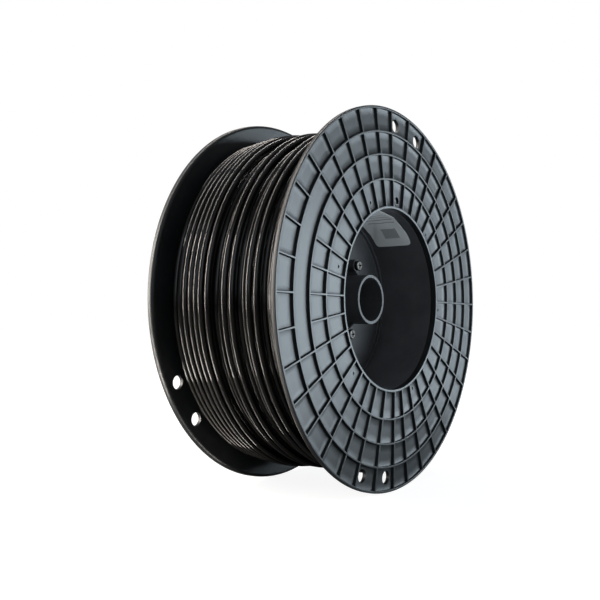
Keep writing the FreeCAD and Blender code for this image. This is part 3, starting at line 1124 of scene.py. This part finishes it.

# %% [markdown]
# The floor is a plain sheet under the rims. Seen by the camera it is white, and it keeps a faint
# contact shadow; its glow is painted light, dimmer near the spool and full white farther out, to make
# up for the lamps' fall-off. To every other ray it is dark grey, because a white floor would light the
# undersides far more than the photograph shows. The world does the same for the background.

# %% Floor and world


def floor_material():
    """White to the camera apart from the shadow, with a glow that rises away from the spool as painted
    light, and dark grey to every other ray.
    """
    nodes = bench("floor")
    camera_ray = nodes.add("ShaderNodeLightPath", output="Is Camera Ray")
    dark = nodes.add("ShaderNodeBsdfDiffuse", None, {"Color": (0.16, 0.16, 0.16, 1)})
    faint = nodes.add("ShaderNodeBsdfDiffuse", None, {"Color": (0.30, 0.30, 0.30, 1)})
    place = nodes.here()
    x = nodes.part(place, "X")
    y = nodes.part(place, "Y")
    # Painted light: the camera's glow is dimmer near the spool and full white farther out, making up for
    # the lamps' fall-off.
    glow_rise_by_distance = (x * x + y * y).root().ramp(0.15, 0.6)
    painted_glow_tone = nodes.blend(glow_rise_by_distance, (0.90, 0.90, 0.90, 1), (1.0, 1.0, 1.0, 1))
    glow = nodes.add("ShaderNodeEmission", None, {"Color": painted_glow_tone, "Strength": 1.0})
    seen = nodes.add("ShaderNodeAddShader", None, {0: faint, 1: glow})
    mixed = nodes.add("ShaderNodeMixShader", None, {0: camera_ray, 1: dark, 2: seen})
    nodes.add("ShaderNodeOutputMaterial", None, {"Surface": mixed})
    return nodes.owner


floor_half = 3.0
floor_z = -flange_radius * MM
floor_mesh = bpy.data.meshes.new("floor")
floor_mesh.from_pydata([(-floor_half, -floor_half, floor_z), (floor_half, -floor_half, floor_z),
                        (floor_half, floor_half, floor_z), (-floor_half, floor_half, floor_z)],
                       [], [(0, 1, 2, 3)])
floor_mesh.materials.append(floor_material())
floor = bpy.data.objects.new("floor", floor_mesh)
bpy.context.collection.objects.link(floor)

world = bpy.data.worlds.new("studio")
bpy.context.scene.world = world
sky = Bench(world)
path_camera = sky.add("ShaderNodeLightPath", output="Is Camera Ray")
path_clear = sky.add("ShaderNodeLightPath", output="Is Transmission Ray")
ambient = sky.add("ShaderNodeBackground", None, {"Color": (0.92, 0.96, 1.0, 1), "Strength": 0.16})
white = sky.add("ShaderNodeBackground", None, {"Color": (1, 1, 1, 1), "Strength": 1.0})
shown = path_camera.at_least(path_clear)
both = sky.add("ShaderNodeMixShader", None, {0: shown, 1: ambient, 2: white})
sky.add("ShaderNodeOutputWorld", None, {"Surface": both})
print("floor at", round(floor_z, 4))

# %% [markdown]
# Long lamps light the spool. Wide cool ones stand low in front to the right and lie on the floor there,
# where the ribbed disc mirrors them into the camera. Narrow warm strips stand to the left behind, arch
# over the spool and run along the floor and under the winding: each draws a thin bright line along
# every turn of the strand. Dim ones overhead and beside the camera fill what is left.

# %% Lamps


def panel(name, start, end, width, radiance, colour):
    """Long area lamp from one point to another, facing the spool; power = radiance * pi * area."""
    start, end = Vector(start), Vector(end)
    length = (end - start).length
    lamp = bpy.data.lights.new(name, "AREA")
    lamp.shape = "RECTANGLE"
    lamp.size = width
    lamp.size_y = length
    lamp.energy = radiance * pi * width * length
    lamp.color = colour
    along = (end - start).normalized()
    middle = (start + end) / 2
    back = (middle - along * middle.dot(along)).normalized()
    holder = bpy.data.objects.new(name, lamp)
    bpy.context.collection.objects.link(holder)
    holder.matrix_world = Matrix.Translation(middle) @ Matrix(
        (along.cross(back), along, back)).transposed().to_4x4()
    holder.visible_camera = False
    return holder


cool = (0.78, 0.91, 1.0)
warm = (1.0, 0.93, 0.86)
lamps = (
    ("front_panel", (0.70, -0.94, -0.09), (0.70, -0.94, 0.28), 1.0, 9.4, cool),
    ("low_panel", (0.25, -0.22, -0.097), (0.80, -0.70, -0.097), 0.9, 6.2, cool),
    ("camera_panel", (-0.90, -0.85, 0.1), (-0.90, -0.85, 1.0), 1.1, 0.7, cool),
    ("back_strip", (-0.75, 0.82, -0.09), (-0.64, 0.70, 0.62), 0.06, 95.0, warm),
    ("arch_strip", (-0.66, 0.62, 0.66), (-0.10, 0.46, 1.08), 0.08, 24.0, warm),
    ("top_strip", (-0.06, 0.44, 1.10), (0.60, 0.30, 0.95), 0.08, 20.0, warm),
    ("top_panel", (-0.4, -0.2, 1.20), (0.4, -0.2, 1.20), 0.7, 0.3, cool),
    ("floor_strip", (-0.78, 0.74, -0.095), (-0.13, 0.06, -0.0985), 0.02, 60.0, warm),
    ("near_floor_panel", (0.02, -0.14, -0.0975), (0.32, -0.32, -0.0975), 0.16, 3.2, cool),
    ("winding_strip", (-0.17, 0.027, -0.0985), (-0.045, 0.027, -0.0985), 0.004, 13.0, warm))
for lamp_values in lamps:
    panel(*lamp_values)
print("lamps", len(lamps))
